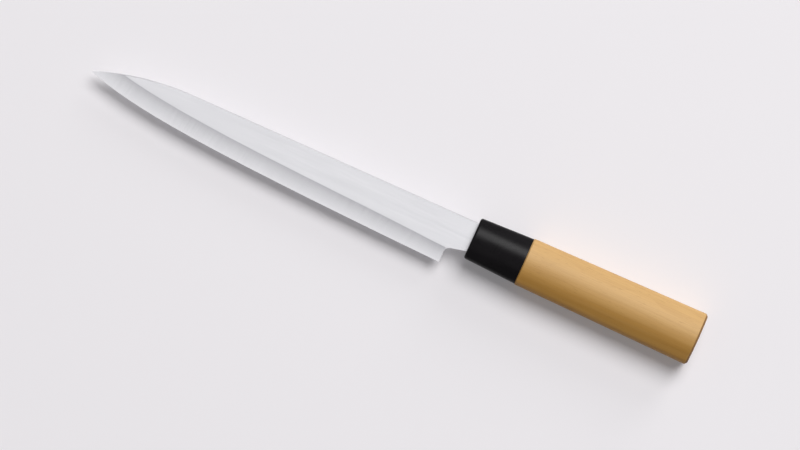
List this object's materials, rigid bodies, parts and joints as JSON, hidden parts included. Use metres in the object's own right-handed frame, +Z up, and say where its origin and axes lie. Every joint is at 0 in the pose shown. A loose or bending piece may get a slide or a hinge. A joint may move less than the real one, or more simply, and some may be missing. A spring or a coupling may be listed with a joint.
{
  "type": "yanagiba knife",
  "caption": "Long slim slicing knife: single-bevel blade with a hollow-ground flat back, bare neck and hidden tang, black collar and D-shaped plain wood handle, lying on its side.",
  "frame": {"origin": "centre of the handle's flat butt end, on the axis that the tang lies on", "axes": "+X along the knife from the butt to the tip, +Y across it from the spine to the edge, +Z up out of the bevelled face; the flat back faces -Z"},
  "size_m": [0.3512, 0.0335, 0.0231],
  "materials": {
    "blade_steel": "satin, ground and polished along its length",
    "collar_plastic": "black, moulded, softly glossy",
    "grip_wood": "magnolia wood, sanded smooth and lightly sealed",
    "resin": "hardened clear amber resin"
  },
  "bodies": {
    "root": {"blade": "blade_steel", "collar": "collar_plastic", "grip": "grip_wood", "tang_resin": "resin"}
  },
  "joints": []
}
